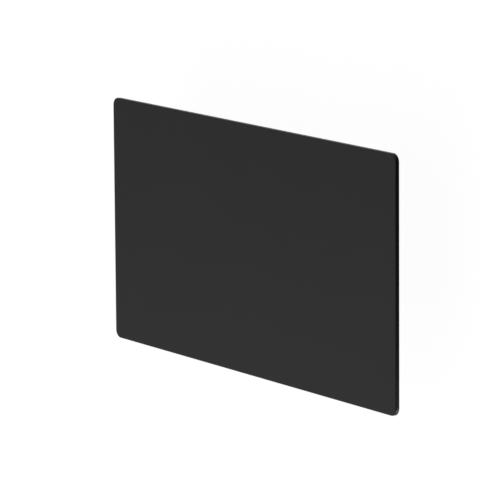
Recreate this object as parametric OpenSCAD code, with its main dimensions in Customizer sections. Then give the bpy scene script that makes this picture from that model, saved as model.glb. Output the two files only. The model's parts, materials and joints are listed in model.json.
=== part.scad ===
// Flat cap for a rectangular steel fence post. The origin is the middle of the plate's
// underside, +Z is up through the plate, +X runs along its long side.

/* [Plate] */
// Length of the plate
plate_l = 122; // [110:1:160]
// Width of the plate
plate_w = 62; // [58:1:80]
// Thickness of the coated sheet
plate_t = 1.1; // [0.8:0.1:3]
// Radius of the plate's corners
corner_r = 2; // [0.5:0.1:4]

/* [Post] */
// How far the plate stands out past the post on every side
overhang = 1; // [0.5:0.1:2]
// Wall thickness of the post
post_wall = 3; // [2:0.1:3.5]

/* [Foam tape] */
// Thickness of the tape before the post squashes it
tape_t = 1; // [0.6:0.1:1.4]
// Distance of the tape from the plate's edge
tape_inset = 1.8; // [1.5:0.1:2]
// Width of the tape along the long sides
side_tape_w = 3.5; // [2.5:0.1:3.8]
// Width of the tape across the ends
end_tape_w = 7; // [6.5:0.1:8]

/* [Spring clips] */
// Distance of a clip's middle from the plate's middle
clip_x = 26; // [20:1:32]
// Width of the spring steel strip
clip_w = 14; // [12:1:16]
// Thickness of the spring steel strip
strip_t = 0.5; // [0.4:0.1:0.6]
// How far a free leg stands out past the post's inner wall
leg_bite = 0.6; // [0.3:0.1:1]
// Depth of the leg's widest point below the plate
crest_drop = 10; // [9:0.5:12]
// Depth of the leg's tip below the plate
leg_drop = 15; // [14:0.5:18]
// Outward slope of the leg
leg_slope = 20; // [16:1:22]
// Inward slope of the leg's tip
tip_slope = 25; // [15:1:35]

/* [Fixings] */
// Thread size of the weld studs
stud_d = 4; // [3.5:0.5:4.5]
// Length of a stud below the plate
stud_l = 8; // [7.5:0.5:10]
// Distance of a stud from the plate's long centre line
stud_y = 14; // [10:1:16]
// Diameter of the locating pins
pin_d = 3; // [2:0.5:3]
// Length of a locating pin below the plate
pin_l = 2; // [1.5:0.1:3]
// Distance of a pin from the plate's long centre line
pin_y = 18; // [10:1:20]

/* [Hidden] */
$fn = 64;

coat_black = [0.16, 0.16, 0.165];
foam_black = [0.09, 0.09, 0.09];
steel_bright = [0.72, 0.72, 0.70];
zinc_grey = [0.62, 0.64, 0.66];
copper_pink = [0.80, 0.55, 0.42];
nylon_blue = [0.25, 0.38, 0.60];

// The post's inner walls, and the outer edge of the foam tape
wall_in_x = plate_l / 2 - overhang - post_wall;
wall_in_y = plate_w / 2 - overhang - post_wall;
tape_out_x = plate_l / 2 - tape_inset;
tape_out_y = plate_w / 2 - tape_inset;

// A pin stands half a millimetre short of the post's end wall
pin_play = 0.5;
pin_x = wall_in_x - pin_play - pin_d / 2;
pin_hole_gap = 0.2;
pin_hole_d = pin_d + 2 * pin_hole_gap;

// Stud collar, washer and lock nut, stacked downwards from the plate
collar_t = 0.8;
collar_d = stud_d + 1.5;
bridge_top = -collar_t;
washer_top = bridge_top - strip_t;
washer_t = 0.8;
washer_d = 2.25 * stud_d;
clearance_d = stud_d + 0.3;
nut_top = washer_top - washer_t;
nut_flats = 1.75 * stud_d;
nut_hex_h = 3.2;
nut_h = 5;
nut_dome_d = 0.9 * nut_flats;
nut_bore_d = stud_d + 0.05;
ring_d = 1.4 * stud_d;
ring_h = 1.4;
lip_h = 0.3;
lip_d = ring_d - 0.8;

// How far a cutter runs past the solid that it cuts
past = 1;

// The strip's profile lies in a plane across the post: [distance from the middle, height]
root_r_in = 1;
root_r_out = root_r_in + strip_t;
root_z = bridge_top - root_r_out;
crest_r = 2;
crest_z = -crest_drop;
root_r_mid = root_r_in + strip_t / 2;
leg_len = (root_z + (root_r_mid - crest_r) * sin(leg_slope) + crest_drop) / cos(leg_slope);
crest_y = wall_in_y + leg_bite - crest_r - strip_t / 2;
root_y = crest_y + (crest_r - root_r_mid) * cos(leg_slope) - leg_len * sin(leg_slope);
tip_len = (leg_drop - crest_drop - (crest_r + strip_t / 2) * sin(tip_slope)) / cos(tip_slope);
root_c = [root_y, root_z];
crest_c = [crest_y, crest_z];

// Directions along the leg and its tip, both pointing down, and the way out of the leg's face
leg_dir = [sin(leg_slope), -cos(leg_slope)];
leg_out = [cos(leg_slope), sin(leg_slope)];
tip_dir = [-sin(tip_slope), -cos(tip_slope)];
crest_start = root_c + root_r_mid * leg_out + leg_len * leg_dir;

// The tooth is lanced from the leg just above its widest point and stands upright
tooth_l = 3.5;
tooth_w = 4.2;
tooth_side_gap = 0.4;
window_l = 4.2;
window_w = tooth_w + 2 * tooth_side_gap;
tooth_root = 0.2;

tip_corner_r = 2.5;
arc_steps = 10;

// Points on a round stretch from angle a0 to angle a1
function arc(c, r, a0, a1) =
  [for (i = [0 : arc_steps]) c + r * [cos(a0 + (a1 - a0) * i / arc_steps), sin(a0 + (a1 - a0) * i / arc_steps)]];

// The same point on the other side of the middle
function flipped(points) = [for (i = [len(points) - 1 : -1 : 0]) [-points[i][0], points[i][1]]];

// Rectangle centred on the origin with true round corners
module round_rect(l, w, r) {
  square([l - 2 * r, w], center = true);
  square([l, w - 2 * r], center = true);
  for (sx = [-1, 1], sy = [-1, 1])
    translate([sx * (l / 2 - r), sy * (w / 2 - r)]) circle(r);
}

// Turns a profile drawn across the post into a strip of the given width along X
module across(width) {
  rotate([90, 0, 90]) linear_extrude(width, center = true) children();
}

module cap_plate() {
  color(coat_black) linear_extrude(plate_t) round_rect(plate_l, plate_w, corner_r);
}

// Tape along a long side: side is -1 at the front and 1 at the back
module side_tape(side) {
  color(foam_black)
    translate([-tape_out_x, side * (tape_out_y - side_tape_w / 2) - side_tape_w / 2, -tape_t])
      cube([2 * tape_out_x, side_tape_w, tape_t]);
}

// Tape across an end, punched over two locating pins
module end_tape(side) {
  tape_l = 2 * (tape_out_y - side_tape_w);
  color(foam_black)
    difference() {
      translate([side * (tape_out_x - end_tape_w / 2) - end_tape_w / 2, -tape_l / 2, -tape_t])
        cube([end_tape_w, tape_l, tape_t]);
      for (sy = [-1, 1])
        translate([side * pin_x, sy * pin_y, -tape_t - past])
          cylinder(h = tape_t + 2 * past, d = pin_hole_d);
    }
}

// Two plain weld pins near one end, which stop the cap sliding along the post
module locating_pins(side) {
  bevel = 0.3;
  r = pin_d / 2;
  color(copper_pink)
    for (sy = [-1, 1])
      translate([side * pin_x, sy * pin_y, 0])
        rotate_extrude()
          polygon([[0, 0], [r, 0], [r, bevel - pin_l], [r - bevel, -pin_l], [0, -pin_l]]);
}

// Puts its children at the two studs of one clip, at the given height
module at_studs(side, z) {
  for (sy = [-1, 1])
    translate([side * clip_x, sy * stud_y, z]) children();
}

// Two threaded weld studs, drawn at the thread's outer diameter
module weld_studs(side) {
  bevel = 0.5;
  r = stud_d / 2;
  color(copper_pink)
    at_studs(side, 0)
      rotate_extrude()
        polygon([
          [0, 0], [collar_d / 2, 0], [collar_d / 2, -collar_t], [r, -collar_t],
          [r, bevel - stud_l], [r - bevel, -stud_l], [0, -stud_l]
        ]);
}

// The flat middle of a spring clip with its two root bends
module clip_bridge(side) {
  outer = arc(root_c, root_r_out, leg_slope, 90);
  inner = arc(root_c, root_r_in, 90, leg_slope);
  color(steel_bright)
    difference() {
      translate([side * clip_x, 0, 0])
        across(clip_w) polygon(concat(outer, flipped(outer), flipped(inner), inner));
      at_studs(side, washer_top - past) cylinder(h = strip_t + 2 * past, d = clearance_d);
    }
}

// The leg's strip in the plane across the post
module leg_profile() {
  outer = arc(crest_c, crest_r + strip_t / 2, leg_slope, -tip_slope);
  inner = arc(crest_c, crest_r - strip_t / 2, -tip_slope, leg_slope);
  polygon(concat(
    [root_c + root_r_out * leg_out], outer,
    [outer[arc_steps] + tip_len * tip_dir, inner[0] + tip_len * tip_dir], inner,
    [root_c + root_r_in * leg_out]
  ));
}

// Opening that the tooth is lanced from
module window_profile() {
  top = crest_start - (window_l + tooth_root) * leg_dir;
  low = crest_start - tooth_root * leg_dir;
  reach = strip_t * leg_out;
  polygon([top + reach, low + reach, low - reach, top - reach]);
}

// The tooth, upright from its foot at the window's lower edge
module tooth_profile() {
  foot = crest_start - strip_t / 2 * leg_out;
  polygon([
    foot, crest_start + strip_t / 2 * leg_out,
    crest_start + [strip_t / 2, tooth_l], crest_start + [-strip_t / 2, tooth_l]
  ]);
}

// One springy leg: side_x picks the clip, side_y the long wall that the leg grips
module clip_leg(side_x, side_y) {
  flip = side_y < 0 ? 1 : 0;
  color(steel_bright)
    translate([side_x * clip_x, 0, 0]) mirror([0, flip, 0]) {
      intersection() {
        difference() {
          across(clip_w) leg_profile();
          across(window_w) window_profile();
        }
        rotate([90, 0, 0]) linear_extrude(4 * wall_in_y, center = true) leg_outline();
      }
      across(tooth_w) tooth_profile();
    }
}

// The leg seen from the long side, with its lower corners rounded off
module leg_outline() {
  half = clip_w / 2;
  translate([-half, tip_corner_r - leg_drop]) square([clip_w, leg_drop]);
  translate([tip_corner_r - half, -leg_drop]) square([clip_w - 2 * tip_corner_r, leg_drop]);
  for (sx = [-1, 1])
    translate([sx * (half - tip_corner_r), tip_corner_r - leg_drop]) circle(tip_corner_r);
}

// Flat ring from z = 0 up
module ring(h, d_out, d_in) {
  difference() {
    cylinder(h = h, d = d_out);
    translate([0, 0, -past]) cylinder(h = h + 2 * past, d = d_in);
  }
}

module washers(side) {
  color(zinc_grey)
    at_studs(side, washer_top - washer_t) ring(washer_t, washer_d, clearance_d);
}

// Hexagon with a collar that is rolled over a nylon ring, hanging down from z = 0
module lock_nut() {
  corner = nut_flats / sqrt(3);
  bevel = 0.4;
  dome_r = nut_dome_d / 2;
  difference() {
    union() {
      intersection() {
        translate([0, 0, -nut_hex_h]) cylinder(h = nut_hex_h, r = corner, $fn = 6);
        rotate_extrude()
          polygon([
            [0, 0], [corner - bevel, 0], [corner, -bevel / 2], [corner, bevel / 2 - nut_hex_h],
            [corner - bevel, -nut_hex_h], [0, -nut_hex_h]
          ]);
      }
      rotate_extrude()
        polygon([
          [0, -nut_hex_h / 2], [dome_r, -nut_hex_h / 2], [dome_r, bevel - nut_h],
          [dome_r - bevel, -nut_h], [0, -nut_h]
        ]);
    }
    translate([0, 0, -nut_h - past]) cylinder(h = nut_h + 2 * past, d = nut_bore_d);
    translate([0, 0, lip_h - nut_h]) cylinder(h = ring_h, d = ring_d);
    translate([0, 0, -nut_h - past]) cylinder(h = lip_h + 2 * past, d = lip_d);
  }
}

module lock_nuts(side) {
  color(zinc_grey) at_studs(side, nut_top) lock_nut();
}

// Nylon rings held inside the collars of the lock nuts
module nut_rings(side) {
  color(nylon_blue) at_studs(side, nut_top - nut_h + lip_h) ring(ring_h, ring_d, nut_bore_d);
}

cap_plate();
side_tape(-1);  // seal_tape_front
side_tape(1);  // seal_tape_back
end_tape(-1);  // seal_tape_left
end_tape(1);  // seal_tape_right
locating_pins(-1);  // locating_pins_left
locating_pins(1);  // locating_pins_right
weld_studs(-1);  // weld_studs_left
weld_studs(1);  // weld_studs_right
clip_bridge(-1);  // clip_bridge_left
clip_bridge(1);  // clip_bridge_right
clip_leg(-1, -1);  // clip_leg_left_front
clip_leg(-1, 1);  // clip_leg_left_back
clip_leg(1, -1);  // clip_leg_right_front
clip_leg(1, 1);  // clip_leg_right_back
washers(-1);  // washers_left
washers(1);  // washers_right
lock_nuts(-1);  // lock_nuts_left
lock_nuts(1);  // lock_nuts_right
nut_rings(-1);  // nut_rings_left
nut_rings(1);  // nut_rings_right
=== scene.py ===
# %% [markdown]
# # A flat cap for a steel fence post
# The cap is a coated steel plate that closes the open top of a rectangular post. Under it sit
# a ring of foam tape, four short pins and two spring clips that are bolted to weld studs.
# Each piece of the real cap is a piece of its own here, and takes its place and its size from
# the engineer's model, which is loaded first as a fixed frame. Shapes are worked out in
# millimetres, as a maker measures them, and made metres at the end.

# %% Load the frame
import json
import math

import bmesh
import bpy
import numpy as np
from mathutils import Matrix, Vector


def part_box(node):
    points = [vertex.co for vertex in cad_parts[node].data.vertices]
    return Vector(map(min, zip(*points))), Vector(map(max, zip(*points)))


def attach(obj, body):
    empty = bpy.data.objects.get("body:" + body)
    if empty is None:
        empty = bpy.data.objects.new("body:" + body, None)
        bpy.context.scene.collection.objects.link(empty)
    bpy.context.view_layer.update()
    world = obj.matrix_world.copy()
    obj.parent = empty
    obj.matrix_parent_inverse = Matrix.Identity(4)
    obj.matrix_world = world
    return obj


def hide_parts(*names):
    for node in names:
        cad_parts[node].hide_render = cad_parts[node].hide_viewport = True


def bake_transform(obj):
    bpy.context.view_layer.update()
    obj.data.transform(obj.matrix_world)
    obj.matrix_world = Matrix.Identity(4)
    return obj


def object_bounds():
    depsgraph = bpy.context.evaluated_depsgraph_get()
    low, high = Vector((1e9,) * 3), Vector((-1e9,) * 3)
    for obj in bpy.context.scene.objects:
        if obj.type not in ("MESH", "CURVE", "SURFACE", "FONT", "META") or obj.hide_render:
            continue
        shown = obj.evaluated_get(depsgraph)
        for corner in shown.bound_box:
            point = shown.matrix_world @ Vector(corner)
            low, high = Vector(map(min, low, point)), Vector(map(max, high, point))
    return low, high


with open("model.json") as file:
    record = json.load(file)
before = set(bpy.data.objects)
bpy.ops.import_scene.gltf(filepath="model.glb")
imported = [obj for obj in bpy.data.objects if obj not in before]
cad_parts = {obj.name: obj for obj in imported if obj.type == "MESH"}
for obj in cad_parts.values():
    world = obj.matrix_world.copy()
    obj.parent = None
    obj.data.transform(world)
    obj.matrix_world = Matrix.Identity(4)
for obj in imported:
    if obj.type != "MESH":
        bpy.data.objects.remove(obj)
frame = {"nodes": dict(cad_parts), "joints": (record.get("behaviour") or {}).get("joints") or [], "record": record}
MM = 0.001
cad_box = [list(corner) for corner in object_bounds()]
joints = {joint["name"]: joint for joint in frame["joints"]}
mounts = {mount["name"]: mount for mount in frame["record"]["mounts"]}


def box_mm(node):
    """Lowest and highest corner of a node, in millimetres."""
    low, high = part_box(node)
    return low / MM, high / MM


plate_low, plate_high = box_mm("cap_plate")
print("plate", [round(side, 2) for side in plate_high - plate_low], "mm")
print("nodes to dress:", len(frame["nodes"]))

# %% [markdown]
# ## The camera
# A long lens from a metre away keeps the plate's edges almost parallel, as in a catalogue.
# Three angles are easier to read and to change than a matrix: the camera turns about a line
# across the cap, from straight above towards the right end, then lifts towards the back edge
# and leans a little.

# %% Camera
LENS = 305.6
CAMERA_TURN = 55.972
CAMERA_LIFT = 9.846
CAMERA_LEAN = 0.393
CAMERA_PLACE = Vector((0.8446, 0.1769, 0.5709))

camera_data = bpy.data.cameras.new("camera")
camera_data.lens = LENS
camera_data.clip_end = 10
camera = bpy.data.objects.new("camera", camera_data)
bpy.context.scene.collection.objects.link(camera)
bpy.context.scene.camera = camera
turn = Matrix.Rotation(math.radians(CAMERA_TURN), 4, "Y")
lift = Matrix.Rotation(math.radians(-CAMERA_LIFT), 4, "X")
lean = Matrix.Rotation(math.radians(-CAMERA_LEAN), 4, "Z")
camera.matrix_world = Matrix.Translation(CAMERA_PLACE) @ turn @ lift @ lean
print("camera", [round(value, 3) for value in CAMERA_PLACE], "lens", LENS)

# %% [markdown]
# ## Trees of nodes
# The studio, the finishes and several shapes are trees of nodes. These helpers add a node and
# link it in one line, so that a tree reads like the sum that it works out.

# %% Helpers for trees
def feed(tree, made, inputs):
    """Gives a node's inputs plain values or other nodes' outputs."""
    for socket, value in inputs.items():
        if isinstance(value, bpy.types.NodeSocket):
            tree.links.new(value, made.inputs[socket])
        else:
            made.inputs[socket].default_value = value


def node(tree, kind, inputs=None, **settings):
    """Adds a node to a tree, with its settings and its inputs."""
    made = tree.nodes.new(kind)
    for name, value in settings.items():
        setattr(made, name, value)
    feed(tree, made, inputs or {})
    return made


def new_material(name):
    """A material with its node tree and its shader."""
    material = bpy.data.materials.new(name)
    material.use_nodes = True
    return material, material.node_tree, material.node_tree.nodes["Principled BSDF"]


def dress(tree, shader, **sockets):
    """Gives the shader's sockets, by name, plain values or other nodes' outputs."""
    feed(tree, shader, {name.replace("_", " "): value for name, value in sockets.items()})


def math_node(tree, operation, *values):
    """Result of one sum on numbers or on other nodes' outputs."""
    return node(tree, "ShaderNodeMath", dict(enumerate(values)), operation=operation).outputs[0]


def fade(tree, value, start, end, first=0.0, last=1.0):
    """Goes softly from a first to a last value while another value goes from start to end."""
    inputs = {"Value": value, "From Min": start, "From Max": end, "To Min": first, "To Max": last}
    return node(tree, "ShaderNodeMapRange", inputs, interpolation_type="SMOOTHSTEP").outputs[0]


print("node helpers ready")

# %% [markdown]
# ## The studio
# Satin black and bare metal show little but what they mirror, so the studio is built from
# what each surface faces. One large soft light gives the face its even tone. The surroundings
# are grey, lighter on the side that the face mirrors, and pale low down on the left, as a
# white floor would be. Two smaller lights, front and back, give the clips something to
# mirror. The right end edge faces away from the large light and stays dark, but for a small
# lamp near its front corner. The floor glows by itself, because white card under studio light
# hides all but a faint shadow.

# %% Floor and lights
FLOOR_SIZE = 14
LIGHT_SIDE = Vector((-0.8, -0.1, 0.6)).normalized()
LIGHT_SIDE_LEVEL = 0.205
DARK_SIDE_LEVEL = 0.01
LOW_LEFT_LEVEL = 0.6
LEFT_FADE = (0.2, -0.2)
LOW_FADE = (0.25, 0.05)
FLOOR_GLOW = 0.95
FLOOR_FADE = (0.3, 1.5)
FLOOR_TONE = 0.25


def soft_light(name, place, aim, size, power):
    """A square area light at a place, turned to face a point, in metres and watts."""
    data = bpy.data.lights.new(name, "AREA")
    data.size = size
    data.energy = power
    light = bpy.data.objects.new(name, data)
    bpy.context.scene.collection.objects.link(light)
    light.location = place
    light.rotation_mode = "QUATERNION"
    light.rotation_quaternion = (Vector(aim) - Vector(place)).to_track_quat("-Z", "Y")
    light.visible_camera = False
    return light


def grey_world():
    """Grey for the object, pale low down on the left, and white behind it for the camera."""
    world = bpy.data.worlds.new("studio")
    world.use_nodes = True
    tree = world.node_tree
    tree.nodes.clear()
    way = node(tree, "ShaderNodeTexCoord").outputs["Generated"]
    facing = node(tree, "ShaderNodeVectorMath", {0: way, 1: LIGHT_SIDE}, operation="DOT_PRODUCT")
    around = fade(tree, facing.outputs["Value"], -1.0, 1.0, DARK_SIDE_LEVEL, LIGHT_SIDE_LEVEL)
    apart = node(tree, "ShaderNodeSeparateXYZ", {0: way})
    to_left = fade(tree, apart.outputs["X"], *LEFT_FADE)
    low_down = fade(tree, apart.outputs["Z"], *LOW_FADE, 0.0, LOW_LEFT_LEVEL)
    level = math_node(tree, "ADD", around, math_node(tree, "MULTIPLY", to_left, low_down))
    grey = node(tree, "ShaderNodeBackground", {"Color": (1, 1, 1, 1), "Strength": level})
    white = node(tree, "ShaderNodeBackground", {"Color": (1, 1, 1, 1), "Strength": 1.0})
    seen = node(tree, "ShaderNodeLightPath").outputs["Is Camera Ray"]
    both = node(tree, "ShaderNodeMixShader", {0: seen, 1: grey.outputs[0], 2: white.outputs[0]})
    node(tree, "ShaderNodeOutputWorld", {"Surface": both.outputs[0]})
    bpy.context.scene.world = world


def pale_floor():
    """A wide white card at the height of the clips' tips, which fades into the white behind it."""
    mesh = bpy.data.meshes.new("floor")
    half = FLOOR_SIZE / 2
    height = cad_box[0][2]
    corners = [(-half, -half, height), (half, -half, height), (half, half, height), (-half, half, height)]
    mesh.from_pydata(corners, [], [(0, 1, 2, 3)])
    floor = bpy.data.objects.new("floor", mesh)
    bpy.context.scene.collection.objects.link(floor)
    material, tree, shader = new_material("white_card")
    place = node(tree, "ShaderNodeTexCoord").outputs["Object"]
    away = node(tree, "ShaderNodeVectorMath", {0: place}, operation="LENGTH").outputs["Value"]
    glow = fade(tree, away, *FLOOR_FADE, FLOOR_GLOW, 1.0)
    dress(tree, shader, Base_Color=(FLOOR_TONE, FLOOR_TONE, FLOOR_TONE, 1), Roughness=0.9,
          Specular_IOR_Level=0.0, Emission_Color=(1, 1, 1, 1), Emission_Strength=glow)
    mesh.materials.append(material)
    floor.visible_glossy = False
    floor.visible_diffuse = False
    floor.visible_shadow = False
    return floor


grey_world()
pale_floor()
soft_light("key", (-0.9, -0.6, 0.8), (0, 0, 0), 0.8, 0.85)
soft_light("front", (-0.2, -0.8, 0.35), (0, 0, 0), 0.5, 1.2)
soft_light("back", (0.45, 0.45, 0.16), (0, 0, 0), 0.3, 0.25)
soft_light("edge", (0.08, -0.06, -0.035), (0.061, -0.03, 0), 0.03, 0.011)
bpy.context.scene.view_settings.view_transform = "Standard"
print("floor at", round(cad_box[0][2] / MM, 2), "mm")

# %% [markdown]
# ## Finishes
# Every finish is a small tree of nodes: slow noise for the drift of tone that a real surface
# has, fine noise for its grain, and a bump that is only a few thousandths of a millimetre
# deep. Object coordinates are in metres, so each tree starts by turning them into
# millimetres, and every scale after that reads as features per millimetre.

# %% Helpers for finishes
NOISE_LOW = 0.3
NOISE_HIGH = 0.7


def millimetres(tree):
    """Place on the object in millimetres."""
    place = node(tree, "ShaderNodeTexCoord").outputs["Object"]
    scaled = node(tree, "ShaderNodeMapping", {"Vector": place, "Scale": (1 / MM, 1 / MM, 1 / MM)})
    return scaled.outputs[0]


def along_strip(tree, along, across):
    """Flat pattern coordinates, stretched along the strip so that noise becomes drawn grain."""
    place = node(tree, "ShaderNodeUVMap", uv_map="flat_pattern").outputs[0]
    scaled = node(tree, "ShaderNodeMapping", {"Vector": place, "Scale": (along, across, 1)})
    return scaled.outputs[0]


def mottle(tree, place, scale, detail=2.0, roughness=0.5):
    """Soft noise from 0 to 1 with the given number of features per millimetre."""
    inputs = {"Vector": place, "Scale": scale, "Detail": detail, "Roughness": roughness}
    return node(tree, "ShaderNodeTexNoise", inputs).outputs[0]


def tones(tree, factor, dark, light):
    """Colour between two tones as noise goes from low to high."""
    ramp = node(tree, "ShaderNodeValToRGB", {"Fac": factor})
    stops = zip(ramp.color_ramp.elements, (NOISE_LOW, NOISE_HIGH), (dark, light))
    for stop, position, tone in stops:
        stop.position = position
        stop.color = (*tone, 1)
    return ramp.outputs[0]


def between(tree, factor, low, high):
    """Value between two limits as noise goes from low to high."""
    inputs = {"Value": factor, "From Min": NOISE_LOW, "From Max": NOISE_HIGH, "To Min": low,
              "To Max": high}
    return node(tree, "ShaderNodeMapRange", inputs).outputs[0]


def relief(tree, height, depth_mm, below=None):
    """Bump of a depth in millimetres, on top of another bump where one is given."""
    inputs = {"Height": height, "Distance": depth_mm * MM, "Strength": 1.0}
    if below:
        inputs["Normal"] = below
    return node(tree, "ShaderNodeBump", inputs).outputs[0]


print("finish helpers ready")

# %% [markdown]
# ### Powder coat
# Powder is sprayed on dry and melts in an oven. It flows almost flat, but keeps a faint
# orange peel about a millimetre across, and a fine tooth that makes it satin instead of
# glossy. Two bumps of different sizes give both.

# %% Powder coat
def powder_coat():
    """Satin black powder coat."""
    material, tree, shader = new_material("satin_black_powder_coat")
    place = millimetres(tree)
    drift = mottle(tree, place, 0.03)
    peel = mottle(tree, place, 0.9, detail=1.0)
    tooth = mottle(tree, place, 7.0, detail=2.0)
    colour = tones(tree, drift, (0.0285, 0.0285, 0.0295), (0.0315, 0.0315, 0.0325))
    gloss = between(tree, tooth, 0.40, 0.47)
    bump = relief(tree, tooth, 0.002, below=relief(tree, peel, 0.004))
    dress(tree, shader, Base_Color=colour, Roughness=gloss, Normal=bump)
    return material


COAT = powder_coat()
print(COAT.name)

# %% [markdown]
# ### Foam
# Closed-cell foam rubber is a mass of tiny bubbles. Voronoi noise gives one rounded pit per
# bubble, and the pits are painted darker than the walls between them. That darkening is painted shade: little
# light gets into a cut bubble.

# %% Foam
def foam_rubber():
    """Black closed-cell foam, open where it was cut."""
    material, tree, shader = new_material("black_closed_cell_foam")
    place = millimetres(tree)
    cells = node(tree, "ShaderNodeTexVoronoi", {"Vector": place, "Scale": 3.2, "Randomness": 1.0})
    fine = node(tree, "ShaderNodeTexVoronoi", {"Vector": place, "Scale": 8.0, "Randomness": 1.0})
    depth = cells.outputs["Distance"]
    # Painted shade: the colour is darker towards each pit's middle, where little light gets in.
    colour = tones(tree, depth, (0.006, 0.006, 0.006), (0.018, 0.018, 0.019))
    bump = relief(tree, fine.outputs["Distance"], 0.03, below=relief(tree, depth, 0.08))
    dress(tree, shader, Base_Color=colour, Normal=bump, Roughness=0.95, Specular_IOR_Level=0.25)
    return material


FOAM = foam_rubber()
print(FOAM.name)

# %% [markdown]
# ### Bare and plated steel
# Strip steel comes off the rolling mill with a grain that runs along it, so its noise is
# stretched along the flat pattern that each clip was bent from. Plated fasteners have no
# direction, but their tone drifts: zinc a little blue and a little straw, copper brown where
# the welding heat reached it.

# %% Metals
def spring_steel():
    """Bare strip steel with its rolled grain."""
    material, tree, shader = new_material("rolled_spring_steel")
    grain = mottle(tree, along_strip(tree, 0.12, 9.0), 1.0, detail=3.0)
    streak = mottle(tree, along_strip(tree, 0.03, 1.6), 1.0, detail=2.0)
    colour = tones(tree, streak, (0.53, 0.52, 0.50), (0.62, 0.61, 0.59))
    gloss = between(tree, grain, 0.27, 0.40)
    bump = relief(tree, grain, 0.004)
    dress(tree, shader, Base_Color=colour, Roughness=gloss, Normal=bump, Metallic=1.0)
    return material


def plated_steel(name, dark, light, smooth, dull):
    """Plating whose colour drifts between two tones."""
    material, tree, shader = new_material(name)
    place = millimetres(tree)
    drift = mottle(tree, place, 0.35, detail=3.0)
    grain = mottle(tree, place, 6.0, detail=3.0, roughness=0.6)
    colour = tones(tree, drift, dark, light)
    gloss = between(tree, grain, smooth, dull)
    bump = relief(tree, grain, 0.006)
    dress(tree, shader, Base_Color=colour, Roughness=gloss, Normal=bump, Metallic=1.0)
    return material


SPRING_STEEL = spring_steel()
ZINC = plated_steel("bright_zinc_plating", (0.49, 0.52, 0.57), (0.56, 0.57, 0.55), 0.24, 0.36)
COPPER = plated_steel("copper_flash_plating", (0.50, 0.25, 0.15), (0.68, 0.40, 0.27), 0.28, 0.42)
print(SPRING_STEEL.name, ZINC.name, COPPER.name)

# %% [markdown]
# ### Nylon
# The ring that grips the thread is blue nylon. It is waxy: slightly cloudy in tone and softly
# polished.

# %% Nylon
def nylon():
    """Blue nylon, a little cloudy."""
    material, tree, shader = new_material("blue_nylon")
    place = millimetres(tree)
    cloud = mottle(tree, place, 1.2, detail=2.0)
    scuff = mottle(tree, place, 9.0, detail=2.0)
    colour = tones(tree, cloud, (0.042, 0.10, 0.30), (0.058, 0.14, 0.40))
    gloss = between(tree, scuff, 0.34, 0.46)
    dress(tree, shader, Base_Color=colour, Roughness=gloss, Normal=relief(tree, scuff, 0.004))
    return material


NYLON = nylon()
print(NYLON.name)

# %% [markdown]
# ## From a drawing to a piece
# A few tools shape nearly everything here. One rounds the corners of an outline, as a fillet
# does on a drawing. One merges what touches and turns every face outwards, because a piece
# has to be one closed skin. One turns a bmesh in millimetres into an object in metres, and
# one hides the node that the piece replaces and fixes the piece to the cap.

# %% Shape helpers
SMOOTH_BELOW = 38
SAME_PLACE = 1e-4
NO_LENGTH = 1e-5


def rounded(points, radii, steps=4, looped=True):
    """The outline with each corner replaced by an arc of its own radius."""
    made = []
    last = len(points) - 1
    for i, (point, radius) in enumerate(zip(points, radii)):
        corner = Vector(point)
        if radius == 0 or (not looped and i in (0, last)):
            made.append(corner)
            continue
        back = (Vector(points[i - 1]) - corner).normalized()
        ahead = (Vector(points[(i + 1) % len(points)]) - corner).normalized()
        half = back.angle(ahead) / 2
        centre = corner + (back + ahead).normalized() * radius / math.sin(half)
        first = (corner + back * radius / math.tan(half) - centre).normalized()
        final = (corner + ahead * radius / math.tan(half) - centre).normalized()
        made += [centre + radius * first.slerp(final, k / steps) for k in range(steps + 1)]
    return made


def rectangle(low_x, low_y, high_x, high_y):
    """Corners of a rectangle, anticlockwise."""
    return [(low_x, low_y), (high_x, low_y), (high_x, high_y), (low_x, high_y)]


def from_mesh(mesh):
    """Turns a mesh into a bmesh and lets it go."""
    bm = bmesh.new()
    bm.from_mesh(mesh)
    bpy.data.meshes.remove(mesh)
    return bm


def to_mesh(bm, name="stock"):
    """Turns a bmesh into a mesh and lets it go."""
    mesh = bpy.data.meshes.new(name)
    bm.to_mesh(mesh)
    bm.free()
    return mesh


def close(bm):
    """Merges points that touch and turns all faces outwards."""
    bmesh.ops.remove_doubles(bm, verts=bm.verts, dist=SAME_PLACE)
    bmesh.ops.dissolve_degenerate(bm, edges=bm.edges, dist=NO_LENGTH)
    bmesh.ops.recalc_face_normals(bm, faces=bm.faces)


def into_object(name, bm, material):
    """Closes the mesh and makes it an object in metres."""
    close(bm)
    bmesh.ops.scale(bm, vec=(MM, MM, MM), verts=bm.verts)
    mesh = to_mesh(bm, name)
    mesh.materials.clear()
    mesh.materials.append(material)
    mesh.polygons.foreach_set("use_smooth", [True] * len(mesh.polygons))
    mesh.set_sharp_from_angle(angle=math.radians(SMOOTH_BELOW))
    made = bpy.data.objects.new(name, mesh)
    bpy.context.scene.collection.objects.link(made)
    return made


def even_shading(piece):
    """Keeps large flat faces flat right up to their rounded edges."""
    modifier = piece.modifiers.new("even_shading", "WEIGHTED_NORMAL")
    modifier.keep_sharp = True
    modifier.weight = 100


def stands_for(piece, cad_node):
    """Hides the node that the piece replaces, fixes the piece to the cap and prints its size."""
    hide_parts(cad_node)
    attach(piece, "cap")
    low, high = np.array(piece.bound_box).min(0), np.array(piece.bound_box).max(0)
    print(f"{piece.name:18s}", [round(float(side), 2) for side in (high - low) / MM], "mm,",
          len(piece.data.polygons), "faces")


print("shape helpers ready")

# %% [markdown]
# ## The plate
# The plate is cut from one-millimetre sheet and coated, and the coat leaves its edges softly
# rounded. It could be a cube with a bevel modifier, but a stack of outlines is exact: each
# outline is the same rounded rectangle, drawn in a little and raised a little, so that the
# corner radius and the edge radius both stay true. A thin extra band inside each face keeps
# the shading of the wide faces flat.

# %% Plate
CORNER_R = 2.0
FACE_EDGE_R = 0.2
UNDER_EDGE_R = 0.15
SHADING_BAND = 0.4
EDGE_STEPS = 4


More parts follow.
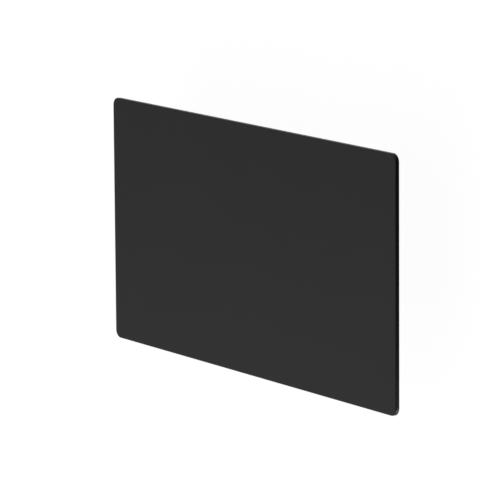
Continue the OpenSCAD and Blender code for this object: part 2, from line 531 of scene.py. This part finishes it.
def plate_outline(inset):
    """The plate's outline, drawn in by a distance on every side."""
    low, high = plate_low, plate_high
    corners = rectangle(low.x + inset, low.y + inset, high.x - inset, high.y - inset)
    return rounded(corners, [CORNER_R - inset] * 4, steps=14)


def edge_rings():
    """(inset, height) of each outline from the underside to the face."""
    low, high = plate_low.z, plate_high.z
    quarter = [math.radians(90) * k / EDGE_STEPS for k in range(EDGE_STEPS + 1)]
    under = [(UNDER_EDGE_R * (1 - math.sin(a)), low + UNDER_EDGE_R * (1 - math.cos(a))) for a in quarter]
    over = [(FACE_EDGE_R * (1 - math.cos(a)), high + FACE_EDGE_R * (math.sin(a) - 1)) for a in quarter]
    return [(SHADING_BAND, low), *under, *over, (SHADING_BAND, high)]


def make_plate():
    """The coated plate, closed from its underside to its face."""
    bm = bmesh.new()
    rings = []
    for inset, height in edge_rings():
        rings.append([bm.verts.new((x, y, height)) for x, y in plate_outline(inset)])
    for below, above in zip(rings, rings[1:]):
        for i in range(len(below)):
            bm.faces.new((below[i - 1], below[i], above[i], above[i - 1]))
    bm.faces.new(rings[0])
    bm.faces.new(rings[-1])
    return into_object("plate", bm, COAT)


plate = make_plate()
even_shading(plate)
stands_for(plate, "cap_plate")

# %% [markdown]
# ## Stamped parts
# Tape and clips are both stamped from flat stock. A flat curve is the shortest way to such a
# blank: it takes an outline and any holes, gets its thickness from the curve's extrude and
# its softened edges from the curve's bevel, and the offset draws the bevel inside the outline.

# %% Stamped blanks
BLANK_BEVEL_STEPS = 2


def stamped(outline, holes, thickness, edge_r):
    """A flat blank in millimetres with rounded edges, lying level with its middle at zero."""
    curve = bpy.data.curves.new("blank", "CURVE")
    curve.dimensions = "2D"
    curve.fill_mode = "BOTH"
    for points in [outline, *holes]:
        spline = curve.splines.new("POLY")
        spline.points.add(len(points) - 1)
        for place, (x, y) in zip(spline.points, points):
            place.co = (x, y, 0, 1)
        spline.use_cyclic_u = True
    curve.extrude = thickness / 2 - edge_r
    curve.bevel_depth = edge_r
    curve.bevel_resolution = BLANK_BEVEL_STEPS
    curve.offset = -edge_r
    blank = bpy.data.objects.new("blank", curve)
    bm = from_mesh(bpy.data.meshes.new_from_object(blank))
    bmesh.ops.remove_doubles(bm, verts=bm.verts, dist=SAME_PLACE)
    bpy.data.objects.remove(blank)
    return bm


def circle(x, y, radius, steps=40):
    """Points of a round hole."""
    turns = [2 * math.pi * k / steps for k in range(steps)]
    return [(x + radius * math.cos(a), y + radius * math.sin(a)) for a in turns]


print("blank bevel steps", BLANK_BEVEL_STEPS)

# %% [markdown]
# ## Shapes from modifiers
# A modifier, with or without a tree of nodes, turns a start mesh into a new one. These helpers
# name a tree's inputs, end it, and keep the plain mesh that comes out, so that every piece
# ends as an ordinary mesh.

# %% Helpers for modifiers
def add_inputs(tree, **kinds):
    """Named inputs and one geometry output for a node tree, and its input node."""
    for name, kind in kinds.items():
        tree.interface.new_socket(name.replace("_", " "), in_out="INPUT", socket_type="NodeSocket" + kind)
    tree.interface.new_socket("Geometry", in_out="OUTPUT", socket_type="NodeSocketGeometry")
    return tree.nodes.new("NodeGroupInput").outputs


def finish_tree(tree, geometry, material):
    """Ends a tree as the export needs it: real geometry that carries its own finish."""
    real = node(tree, "GeometryNodeRealizeInstances", {"Geometry": geometry})
    painted = node(tree, "GeometryNodeSetMaterial", {"Geometry": real.outputs[0], "Material": material})
    node(tree, "NodeGroupOutput", {0: painted.outputs[0]})
    return tree


def shaped_by(kind, settings, mesh, inputs=None):
    """The plain mesh that one modifier makes from a start mesh."""
    holder = bpy.data.objects.new("holder", mesh)
    bpy.context.scene.collection.objects.link(holder)
    modifier = holder.modifiers.new("shaping", kind)
    for name, value in settings.items():
        setattr(modifier, name, value)
    for identifier, value in (inputs or {}).items():
        modifier[identifier] = value
    graph = bpy.context.evaluated_depsgraph_get()
    made = bpy.data.meshes.new_from_object(holder.evaluated_get(graph))
    bpy.data.objects.remove(holder)
    return made


def grown(tree, mesh, **values):
    """The plain mesh that a tree makes from a start mesh and its named inputs."""
    sockets = {item.name: item.identifier for item in tree.interface.items_tree if item.in_out == "INPUT"}
    inputs = {sockets[name.replace("_", " ")]: value for name, value in values.items()}
    return shaped_by("NODES", {"node_group": tree}, mesh, inputs)


print("modifier helpers ready")

# %% [markdown]
# ## Foam tape
# The tape starts as a stamped strip. A voxel remesh gives it an even skin of small faces,
# and a node tree then presses a pit into that skin wherever a bubble was cut open, and lets
# the cut edges wander a little, because soft foam never cuts quite straight.

# %% A node tree for cut foam
TAPE_EDGE_R = 0.15
VOXEL = 0.22
BUBBLE = 0.8
PIT_DEPTH = 0.14
PIT_SHARE = 0.55
WANDER = 0.08
WANDER_SCALE = 0.12


def cut_foam_tree():
    """Presses a pit wherever a bubble was cut open, and lets the cut wander."""
    tree = bpy.data.node_groups.new("cut_foam", "GeometryNodeTree")
    given = add_inputs(tree, Geometry="Geometry", Bubble_Size="Float", Pit_Depth="Float",
                       Wander="Float", Material="Material")
    place = node(tree, "GeometryNodeInputPosition").outputs[0]
    facing = node(tree, "GeometryNodeInputNormal").outputs["Normal"]
    per_mm = math_node(tree, "DIVIDE", 1.0, given["Bubble Size"])
    cells = node(tree, "ShaderNodeTexVoronoi", {"Vector": place, "Scale": per_mm}).outputs["Distance"]
    open_part = math_node(tree, "SUBTRACT", PIT_SHARE, cells)
    pit = math_node(tree, "MULTIPLY", math_node(tree, "MAXIMUM", open_part, 0.0), given["Pit Depth"])
    slow = node(tree, "ShaderNodeTexNoise", {"Vector": place, "Scale": WANDER_SCALE}).outputs[0]
    sway = math_node(tree, "MULTIPLY", math_node(tree, "SUBTRACT", slow, 0.5), given["Wander"])
    move = math_node(tree, "SUBTRACT", sway, pit)
    offset = node(tree, "ShaderNodeVectorMath", {0: facing, "Scale": move}, operation="SCALE")
    moved = node(tree, "GeometryNodeSetPosition", {"Geometry": given["Geometry"],
                                                   "Offset": offset.outputs[0]})
    return finish_tree(tree, moved.outputs[0], given["Material"])


CUT_FOAM = cut_foam_tree()
print(CUT_FOAM.name, "with", len(CUT_FOAM.nodes), "nodes")

# %% [markdown]
# ### Four strips of tape
# Real tape comes on a roll, is cut to length and is punched where it goes over the pins. The
# strips could be one ring, but four strips with butt joints are what a person sticks on.

# %% Tape
SIDES = ("left", "right")
PIN_HOLE_GAP = 0.2


def pins_within(low, high):
    """(x, y, radius) of each locating pin that stands inside a strip of tape."""
    found = []
    for side in SIDES:
        pin_low, pin_high = box_mm("locating_pins_" + side)
        radius = (pin_high.x - pin_low.x) / 2
        middle = (pin_low.x + pin_high.x) / 2
        if low.x < middle < high.x and low.y < pin_low.y and pin_high.y < high.y:
            found += [(middle, end * (pin_high.y - radius), radius) for end in (-1, 1)]
    return found


def make_tape(cad_node):
    """One strip of tape, punched where pins go through it."""
    low, high = box_mm(cad_node)
    outline = rectangle(low.x, low.y, high.x, high.y)
    holes = [circle(x, y, radius + PIN_HOLE_GAP) for x, y, radius in pins_within(low, high)]
    bm = stamped(outline, holes, high.z - low.z, TAPE_EDGE_R)
    bmesh.ops.translate(bm, vec=(0, 0, (low.z + high.z) / 2), verts=bm.verts)
    skin = shaped_by("REMESH", {"mode": "VOXEL", "voxel_size": VOXEL}, to_mesh(bm))
    foam = grown(CUT_FOAM, skin, Bubble_Size=BUBBLE, Pit_Depth=PIT_DEPTH, Wander=WANDER, Material=FOAM)
    return into_object(cad_node.replace("seal_tape", "tape"), from_mesh(foam), FOAM)


for place in ("front", "back", *SIDES):
    cad_node = "seal_tape_" + place
    tape = make_tape(cad_node)
    stands_for(tape, cad_node)

# %% [markdown]
# ## Turned and swept parts
# Pins, washers, nuts and nylon rings are all swept round an axis. Each is drawn as rows of
# (radius, height), and a radius may change round the axis: that is all a hexagon is. A profile
# that closes on itself leaves a hole down the middle; one that starts and ends on the axis is
# solid.

# %% Turned shapes
COLUMNS = 72
ANGLES = np.arange(COLUMNS) * 2 * math.pi / COLUMNS


def turned(rows, looped=False):
    """Closed skin round the Z axis from rows of (radius, height), numbers or one value per column."""
    bm = bmesh.new()
    grid = []
    for radius, height in rows:
        r = np.broadcast_to(radius, COLUMNS)
        z = np.broadcast_to(height, COLUMNS)
        grid.append([bm.verts.new(place) for place in zip(r * np.cos(ANGLES), r * np.sin(ANGLES), z)])
    following = grid[1:] + grid[:1] if looped else grid[1:]
    for here, after in zip(grid, following):
        for i in range(COLUMNS):
            bm.faces.new((here[i - 1], here[i], after[i], after[i - 1]))
    return bm


def pattern(bm, material):
    """A part in millimetres, hidden from the scene, for a node tree to repeat."""
    close(bm)
    mesh = to_mesh(bm)
    mesh.materials.append(material)
    return bpy.data.objects.new("pattern", mesh)


print("columns round each turned part:", COLUMNS)

# %% [markdown]
# ## Setting parts in pairs
# Every fastener comes in pairs, one at the front stud and one at the back. A node tree with
# named inputs sets a pattern part at both ends of a line and turns each by its own seeded
# amount, as washers and threads come to rest at any angle.

# %% A node tree for pairs
def pair_tree():
    """Sets a part at two places, each turned by its own seeded amount."""
    tree = bpy.data.node_groups.new("set_in_pairs", "GeometryNodeTree")
    given = add_inputs(tree, Part="Object", Front="Vector", Back="Vector", Turn="Float", Seed="Int",
                       Material="Material")
    line = node(tree, "GeometryNodeMeshLine", {"Count": 2, "Start Location": given["Front"],
                                               "Offset": given["Back"]}, mode="END_POINTS")
    part = node(tree, "GeometryNodeObjectInfo", {"Object": given["Part"]}).outputs["Geometry"]
    turn = node(tree, "FunctionNodeRandomValue", {"Max": given["Turn"], "Seed": given["Seed"]},
                data_type="FLOAT")
    about_z = node(tree, "ShaderNodeCombineXYZ", {"Z": turn.outputs[1]})
    euler = node(tree, "FunctionNodeEulerToRotation", {0: about_z.outputs[0]})
    placed = node(tree, "GeometryNodeInstanceOnPoints", {"Points": line.outputs[0], "Instance": part,
                                                         "Rotation": euler.outputs[0]})
    return finish_tree(tree, placed.outputs[0], given["Material"])


PAIRS = pair_tree()
FULL_TURN = 2 * math.pi
SEEDS = {"left": 3, "right": 8}


def pair_spots(round_node):
    """Axes of a pair of round parts, found from the pair's box."""
    low, high = box_mm(round_node)
    radius = (high.x - low.x) / 2
    return [(low.x + radius, end * (high.y - radius), 0.0) for end in (-1, 1)]


def set_pair(name, cad_node, spots, bm, material, turn=0.0):
    """Repeats a part at two spots and makes the pair one piece in place of its node."""
    part = pattern(bm, material)
    seed = SEEDS[cad_node.rsplit("_", 1)[1]]
    mesh = grown(PAIRS, bpy.data.meshes.new("start"), Part=part, Front=spots[0], Back=spots[1],
                 Turn=turn, Seed=seed, Material=material)
    bpy.data.objects.remove(part)
    piece = into_object(name, from_mesh(mesh), material)
    even_shading(piece)
    stands_for(piece, cad_node)


print(PAIRS.name, "with", len(PAIRS.nodes), "nodes")

# %% [markdown]
# ### Locating pins
# A weld pin is a short plain rod. The weld leaves a thin flash round its foot, and its free
# end has the small round edge of a part that was headed cold.

# %% Locating pins
PIN_FLASH = 0.14
PIN_FLASH_R = 0.1
PIN_END_R = 0.3


def make_pin(cad_node):
    """One pin, from the plate down to its free end."""
    low, high = box_mm(cad_node)
    radius = (high.x - low.x) / 2
    drawn = [(0, high.z), (radius + PIN_FLASH, high.z), (radius, high.z - PIN_FLASH), (radius, low.z),
             (0, low.z)]
    return turned(rounded(drawn, [0, 0, PIN_FLASH_R, PIN_END_R, 0], steps=5, looped=False))


for side in SIDES:
    cad_node = "locating_pins_" + side
    set_pair("pins_" + side, cad_node, pair_spots(cad_node), make_pin(cad_node), COPPER)

# %% [markdown]
# ### Threaded weld studs
# A thread follows a rule: the radius rises and falls with height, and the pattern climbs by
# one pitch per turn. So a node tree rolls a flat grid into a tube and sets every radius with
# a few sums: the thread's flanks, the collar at the foot, the runout below the collar, and
# the bevel that the thread is cut away by at the tip. The first and last rows close the ends.

# %% A node tree for threaded studs
STUD_COLUMNS = 48
STUD_ROWS = 160
PITCH = 0.7
THREAD_DEPTH = 0.40
THREAD_CREST = 0.15
THREAD_FLANK = 0.65
TIP_BEVEL = 0.55
COLLAR_DRAFT = 9.0


def clamp01(tree, value):
    """A value kept between 0 and 1."""
    return node(tree, "ShaderNodeClamp", {"Value": value}).outputs[0]


def threaded_stud_tree():
    """Rolls a flat grid into a stud with a collar, a thread and a bevelled tip."""
    tree = bpy.data.node_groups.new("threaded_stud", "GeometryNodeTree")
    given = add_inputs(tree, Diameter="Float", Pitch="Float", Depth="Float", Length="Float",
                       Collar_Diameter="Float", Collar_Height="Float", Tip_Bevel="Float",
                       Material="Material")

    def sums(operation, *values):
        return math_node(tree, operation, *values)

    grid = node(tree, "GeometryNodeMeshGrid", {"Size X": 1.0, "Size Y": 1.0,
                                               "Vertices X": STUD_COLUMNS + 1,
                                               "Vertices Y": STUD_ROWS + 1})
    flat = node(tree, "ShaderNodeSeparateXYZ", {0: node(tree, "GeometryNodeInputPosition").outputs[0]})
    turn = sums("ADD", flat.outputs["X"], 0.5)
    row = sums("MULTIPLY", sums("ADD", flat.outputs["Y"], 0.5), STUD_ROWS)
    share = clamp01(tree, sums("DIVIDE", sums("SUBTRACT", row, 1.0), STUD_ROWS - 2.0))
    down = sums("MULTIPLY", share, given["Length"])
    within = sums("MULTIPLY", sums("GREATER_THAN", row, 0.5), sums("LESS_THAN", row, STUD_ROWS - 0.5))
    major = sums("MULTIPLY", given["Diameter"], 0.5)
    climb = sums("FRACT", sums("ADD", sums("DIVIDE", down, given["Pitch"]), turn))
    flank = sums("ABSOLUTE", sums("SUBTRACT", sums("MULTIPLY", climb, 2.0), 1.0))
    groove = clamp01(tree, sums("DIVIDE", sums("SUBTRACT", flank, THREAD_CREST), THREAD_FLANK))
    below_collar = sums("SUBTRACT", down, given["Collar Height"])
    runout = clamp01(tree, sums("DIVIDE", below_collar, given["Pitch"]))
    cut = sums("MULTIPLY", sums("MULTIPLY", groove, runout), given["Depth"])
    thread = sums("SUBTRACT", major, cut)
    from_tip = sums("SUBTRACT", given["Length"], down)
    tip = sums("ADD", sums("SUBTRACT", major, given["Tip Bevel"]), from_tip)
    shank = sums("MINIMUM", thread, tip)
    drafted = sums("MULTIPLY_ADD", below_collar, -COLLAR_DRAFT, major)
    collar = sums("MINIMUM", sums("MULTIPLY", given["Collar Diameter"], 0.5), drafted)
    radius = sums("MULTIPLY", sums("MAXIMUM", shank, collar), within)
    angle = sums("MULTIPLY", turn, 2 * math.pi)
    rolled = node(tree, "ShaderNodeCombineXYZ", {"X": sums("MULTIPLY", radius, sums("COSINE", angle)),
                                                 "Y": sums("MULTIPLY", radius, sums("SINE", angle)),
                                                 "Z": sums("MULTIPLY", down, -1.0)})
    shaped = node(tree, "GeometryNodeSetPosition", {"Geometry": grid.outputs["Mesh"],
                                                    "Position": rolled.outputs[0]})
    closed = node(tree, "GeometryNodeMergeByDistance", {"Geometry": shaped.outputs[0],
                                                         "Distance": SAME_PLACE})
    return finish_tree(tree, closed.outputs[0], given["Material"])


THREADED_STUD = threaded_stud_tree()
print(THREADED_STUD.name, "with", len(THREADED_STUD.nodes), "nodes")

# %% [markdown]
# ### Weld studs
# A short stud is shot onto the plate's underside with a pulse of current, and leaves no mark
# on the face. The tree gets each size from the frame, so the collar ends where the clip sits.

# %% Weld studs
STUD_D = 4.0


def make_stud(cad_node, bridge_top):
    """One stud, with its collar down to the top of the clip's strip."""
    low, high = box_mm(cad_node)
    return from_mesh(grown(
        THREADED_STUD, bpy.data.meshes.new("start"), Diameter=STUD_D, Pitch=PITCH, Depth=THREAD_DEPTH,
        Length=high.z - low.z, Collar_Diameter=high.x - low.x, Collar_Height=high.z - bridge_top,
        Tip_Bevel=TIP_BEVEL, Material=COPPER))


for side in SIDES:
    cad_node = "weld_studs_" + side
    bridge_top = box_mm("clip_bridge_" + side)[1].z
    stud = make_stud(cad_node, bridge_top)
    set_pair("studs_" + side, cad_node, pair_spots(cad_node), stud, COPPER, FULL_TURN)

# %% [markdown]
# ### Washers
# A washer is punched from strip. The punch rolls the edges over on the side that it enters
# and leaves the other side square, so two corners of the section get a larger radius.

# %% Washers
WASHER_HOLE_R = 2.15
PUNCHED_R = 0.2
SQUARE_R = 0.05


def make_washer(cad_node):
    """One washer, with its rolled edges facing the nut."""
    low, high = box_mm(cad_node)
    section = rectangle(WASHER_HOLE_R, low.z, (high.x - low.x) / 2, high.z)
    return turned(rounded(section, [PUNCHED_R, PUNCHED_R, SQUARE_R, SQUARE_R]), looped=True)


for side in SIDES:
    cad_node = "washers_" + side
    spots = pair_spots(cad_node)
    set_pair("washer_pair_" + side, cad_node, spots, make_washer(cad_node), ZINC, FULL_TURN)

# %% [markdown]
# ### Lock nuts
# This lock nut is a hexagon whose corners are turned off at both ends, with a thin collar
# rolled over a nylon ring. Its skin is still swept round an axis: where the hexagon reaches
# past the turned cone the radius is the hexagon's and the height follows the cone, which
# draws the curved chamfer lines on the flats without any boolean.

# %% Lock nuts
NUT_BORE_R = 2.025
NUT_MOUTH = 0.3
NUT_HEX_H = 3.2
NUT_FACE_MARGIN = 0.1
NUT_COLLAR_R = 3.15
COLLAR_FOOT = 0.2
COLLAR_BEND = 0.06
DOME_W = 0.5
DOME_H = 0.8
DOME_STEPS = 6
NUT_LIP_R = 2.4
NUT_LIP_H = 0.3
LIP_BEVEL = 0.1
RING_R = 2.8
RING_H = 1.4
CHAMFER_TAN = math.tan(math.radians(30))
CORNER_SHARPNESS = 70


def hexagon_radius(flats):
    """Radius of a hexagon with slightly rounded corners, one value per column."""
    total = np.zeros(COLUMNS)
    for k in range(6):
        total += np.maximum(np.cos(ANGLES - math.radians(30 + 60 * k)), 0) ** CORNER_SHARPNESS
    return flats / 2 / total ** (1 / CORNER_SHARPNESS)


def make_nut(cad_node):
    """One nut, from its seat on the washer down to the lip that holds the ring."""
    low, high = box_mm(cad_node)
    seat, end = high.z, low.z
    hexagon = hexagon_radius((high.x - low.x) * math.cos(math.radians(30)))
    turned_r = np.minimum(hexagon, hexagon.min() + NUT_FACE_MARGIN)
    cone = (hexagon - turned_r) * CHAMFER_TAN
    shoulder = seat - NUT_HEX_H
    quarter = [math.radians(90) * k / DOME_STEPS for k in range(DOME_STEPS + 1)]
    dome = [(NUT_COLLAR_R - DOME_W * (1 - math.cos(angle)), end + DOME_H * (1 - math.sin(angle)))
            for angle in quarter]
    ring_top = end + NUT_LIP_H + RING_H
    rows = [
        (NUT_BORE_R, seat - NUT_MOUTH), (NUT_BORE_R + NUT_MOUTH, seat),
        (turned_r, seat), (hexagon, seat - cone),
        (hexagon, shoulder + cone), (turned_r, shoulder),
        (NUT_COLLAR_R + COLLAR_FOOT, shoulder), (NUT_COLLAR_R + COLLAR_BEND, shoulder - COLLAR_BEND),
        (NUT_COLLAR_R, shoulder - COLLAR_FOOT), *dome,
        (NUT_LIP_R + LIP_BEVEL, end), (NUT_LIP_R, end + LIP_BEVEL), (NUT_LIP_R, end + NUT_LIP_H),
        (RING_R, end + NUT_LIP_H), (RING_R, ring_top), (NUT_BORE_R, ring_top),
    ]
    return turned(rows, looped=True)


for side in SIDES:
    cad_node = "lock_nuts_" + side
    set_pair("nuts_" + side, cad_node, pair_spots("washers_" + side), make_nut(cad_node), ZINC)

# %% [markdown]
# ### Nylon rings
# Only a narrow band of each ring shows, between the rolled lip and the stud. The lip squeezes
# it, so its lower face swells a little into the lip's opening.

# %% Nylon rings
RING_GRIP = 0.01
RING_SWELL = 0.12
RING_SWELL_R = 0.3
RING_MOUTH_R = 0.08
RING_EDGE_R = 0.05


def make_ring(cad_node):
    """One ring, a little smaller in its bore than the nut."""
    low, high = box_mm(cad_node)
    inner, outer = NUT_BORE_R - RING_GRIP, (high.x - low.x) / 2
    middle = (inner + NUT_LIP_R) / 2
    drawn = [(inner, low.z), (middle, low.z - RING_SWELL), (NUT_LIP_R - RING_EDGE_R, low.z),
             (outer, low.z), (outer, high.z), (inner, high.z)]
    return turned(rounded(drawn, [RING_MOUTH_R, RING_SWELL_R, *[RING_EDGE_R] * 4]), looped=True)


for side in SIDES:
    cad_node = "nut_rings_" + side
    set_pair("nylon_rings_" + side, cad_node, pair_spots(cad_node), make_ring(cad_node), NYLON)

# %% [markdown]
# ## Spring clips
# A clip is stamped flat from spring steel and then bent. The pieces are made the same way:
# a flat blank, cut across at close steps so that it can bend, and one path that every blank
# follows. The path is the strip's middle line from the middle of the cap outwards, as a list
# of (length, turn) stretches: the flat bridge, the root bend, the leg, the bend at its widest
# point and the tip that guides it into the post.

# %% The clip's path
LEG_SLOPE = math.radians(20)
TIP_SLOPE = math.radians(25)
ROOT_R_IN = 1.0
CREST_R = 2.0
RIGHT_ANGLE = math.radians(90)

bridge_high = box_mm("clip_bridge_right")[1]
leg_low, leg_high = box_mm("clip_leg_right_back")
strip_t = bridge_high.z - box_mm("washers_right")[1].z
hinge = Vector(joints["leg_right_back_flex"]["pos_m"]) / MM
leg_out = Vector((math.cos(LEG_SLOPE), math.sin(LEG_SLOPE)))
seam = Vector((hinge.y, hinge.z)) + strip_t / 2 * leg_out
crest = Vector((leg_high.y - CREST_R - strip_t / 2, mounts["post_grip"]["pos_m"][2] / MM))
flat_half = hinge.y - ROOT_R_IN * math.cos(LEG_SLOPE)
root_turn = RIGHT_ANGLE - LEG_SLOPE
root_len = (ROOT_R_IN + strip_t / 2) * root_turn
leg_len = (crest + CREST_R * leg_out - seam).length
crest_turn = LEG_SLOPE + TIP_SLOPE
crest_len = CREST_R * crest_turn
tip_len = (crest.y - leg_low.z - (CREST_R + strip_t / 2) * math.sin(TIP_SLOPE)) / math.cos(TIP_SLOPE)
CLIP_PATH = [(flat_half, 0), (root_len, -root_turn), (leg_len, 0), (crest_len, -crest_turn), (tip_len, 0)]
CLIP_START = (0.0, bridge_high.z - strip_t / 2)


def walk(path, start, heading, distance):
    """(y, z) and heading reached after a distance along a path of straights and arcs."""
    y, z = start
    for length, turn in path:
        step = min(distance, length)
        bend = turn * step / length
        chord = step if turn == 0 or step == 0 else 2 * step / bend * math.sin(bend / 2)
        y += chord * math.cos(heading + bend / 2)
        z += chord * math.sin(heading + bend / 2)
        heading += bend
        distance -= step
    return y, z, heading


def off_path(path, start, heading, distance, out):
    """A point that stands off the path by a distance to its left."""
    y, z, heading = walk(path, start, heading, distance)
    return y - out * math.sin(heading), z + out * math.cos(heading)


seam_at = flat_half + root_len
clip_len = sum(length for length, turn in CLIP_PATH)
print("strip", round(strip_t, 2), "mm thick, clip", round(2 * clip_len, 1), "mm long when flat")
seam_by_path = walk(CLIP_PATH, CLIP_START, 0, seam_at)[:2]
print("seam", [round(v, 2) for v in seam], "by path", [round(v, 2) for v in seam_by_path])

# %% [markdown]
# ### Blanks, cuts and bends
# The flat pattern is stored as a UV map before the bend, so that the rolled grain runs along
# the strip all the way round every bend. The tooth is bent on its own: it stays upright when
# the leg leans, and digs into the post if the cap is pulled.

# %% Bending the strip
STRIP_EDGE_R = 0.1
STATION = 0.5
FINE_STATION = 0.2


def bend_places(start, end):
    """Distances along the path at close steps, in the bends between a start and an end."""
    places = []
    at = 0
    for length, turn in CLIP_PATH:
        if turn:
            places += list(np.arange(at - FINE_STATION, at + length + FINE_STATION, FINE_STATION))
        at += length
    return [place for place in places if start < place < end]


def cut_across(bm, places):
    """Cuts a blank across its length at each place, so that it can bend there."""
    for place in sorted(places):
        every = bm.verts[:] + bm.edges[:] + bm.faces[:]
        bmesh.ops.bisect_plane(bm, geom=every, dist=NO_LENGTH, plane_co=(0, place, 0), plane_no=(0, 1, 0))


def keep_flat_pattern(bm):
    """Stores each corner's place on the flat blank as a UV map."""
    layer = bm.loops.layers.uv.new("flat_pattern")
    for face in bm.faces:
        for loop in face.loops:
            place = loop.vert.co
            loop[layer].uv = (place.y, place.x + place.z)


def bend_strip(bm, tooth=None):
    """Moves every point of a blank from the flat to the clip's path."""
    for vert in bm.verts:
        across, along, out = vert.co
        if tooth and tooth.holds(across, along):
            y, z = tooth.bend(along, out)
        else:
            y, z = off_path(CLIP_PATH, CLIP_START, 0, abs(along), out)
            y = math.copysign(y, along)
        vert.co = (across, y, z)


print("bends are cut every", FINE_STATION, "mm, and legs every", STATION, "mm")

# %% [markdown]
# ### Bridges
# The bridge is the flat middle of each clip, with a hole for each stud, and it takes the root
# bends at both ends with it. It could be a plain box with bevels, but made from the same path
# as the legs it meets them exactly, in place and in direction.

# %% Bridges
HOLE_R = 2.15


def make_bridge(side):
    """One bridge, with both of its root bends."""
    low, high = box_mm("clip_bridge_" + side)
    half = (high.x - low.x) / 2
    holes = [circle(0, spot[1], HOLE_R) for spot in pair_spots("weld_studs_" + side)]
    bm = stamped(rectangle(-half, -seam_at, half, seam_at), holes, strip_t, STRIP_EDGE_R)
    bends = bend_places(0, seam_at)
    cut_across(bm, bends + [-place for place in bends])
    keep_flat_pattern(bm)
    bend_strip(bm)
    bmesh.ops.translate(bm, vec=((low.x + high.x) / 2, 0, 0), verts=bm.verts)
    return into_object("bridge_" + side, bm, SPRING_STEEL)


for side in SIDES:
    bridge = make_bridge(side)
    even_shading(bridge)
    stands_for(bridge, "clip_bridge_" + side)
    print(bridge.name, len(bridge.data.polygons), "faces")

# %% [markdown]
# ### Legs
# Each leg flexes about its root bend, and a real strip bends there smoothly instead of hinging.
# A leg is cut across from end to end, and not only where it is bent when new.

# %% Legs
TIP_CORNER_R = 2.5
TOOTH_W = 4.2
TOOTH_L = 3.3
TOOTH_GAP = 0.4
TOOTH_CORNER_R = 0.5
TOOTH_BEND = 0.25
WINDOW_L = 4.2
WINDOW_CORNER_R = 0.4
SLOT_END_R = 0.12
WINDOW_TO_CREST = 0.2


class Tooth:
    """The tongue inside the leg's window, which is bent out until it stands upright."""

    def __init__(self, foot):
        self.foot = foot
        y, z, heading = walk(CLIP_PATH, CLIP_START, 0, foot)
        self.start = (y, z)
        self.heading = heading + math.pi
        self.path = [(TOOTH_BEND, -LEG_SLOPE), (TOOTH_L, 0)]

    def holds(self, across, along):
        """Whether a point of the blank is on the tongue."""
        top = self.foot - TOOTH_L - TOOTH_GAP / 4
        return abs(across) < (TOOTH_W + TOOTH_GAP) / 2 and top < along < self.foot

    def bend(self, along, out):
        """Place of a point of the tongue once it stands upright."""
        return off_path(self.path, self.start, self.heading, self.foot - along, -out)


def slot_round_tooth(foot):
    """Outline of the window less the tooth: a U that is cut through the leg."""
    half, inner = TOOTH_W / 2 + TOOTH_GAP, TOOTH_W / 2
    top, tooth_top = foot - WINDOW_L, foot - TOOTH_L
    drawn = [(-half, top), (half, top), (half, foot), (inner, foot), (inner, tooth_top),
             (-inner, tooth_top), (-inner, foot), (-half, foot)]
    slot_end = [SLOT_END_R] * 2
    return rounded(drawn, [*[WINDOW_CORNER_R] * 2, *slot_end, *[TOOTH_CORNER_R] * 2, *slot_end])


def make_leg(side, end):
    """One leg, from its seam with the bridge to its tip."""
    low, high = box_mm(f"clip_leg_{side}_{end}")
    half = (high.x - low.x) / 2
    foot = seam_at + leg_len - WINDOW_TO_CREST
    corners = rectangle(-half, seam_at, half, clip_len)
    outline = rounded(corners, [0, 0, TIP_CORNER_R, TIP_CORNER_R], steps=8)
    bm = stamped(outline, [slot_round_tooth(foot)], strip_t, STRIP_EDGE_R)
    stations = list(np.arange(seam_at + STATION, clip_len, STATION))
    cut_across(bm, bend_places(seam_at, clip_len) + stations)
    keep_flat_pattern(bm)
    bend_strip(bm, Tooth(foot))
    facing = 1 if end == "back" else -1
    bmesh.ops.scale(bm, vec=(1, facing, 1), verts=bm.verts)
    bmesh.ops.translate(bm, vec=((low.x + high.x) / 2, 0, 0), verts=bm.verts)
    return into_object(f"leg_{side}_{end}", bm, SPRING_STEEL)


def flex(leg, side, end):
    """Hides the leg's node and bakes the leg's place into its mesh."""
    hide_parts(f"clip_leg_{side}_{end}")
    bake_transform(leg)


for side in SIDES:
    for end in ("front", "back"):
        leg = make_leg(side, end)
        even_shading(leg)
        flex(leg, side, end)
        print(leg.name, len(leg.data.polygons), "faces")

# %% [markdown]
# ## Size
# The box round the engineer's model is printed, in metres.

# %% Size
print("cad box", cad_box)
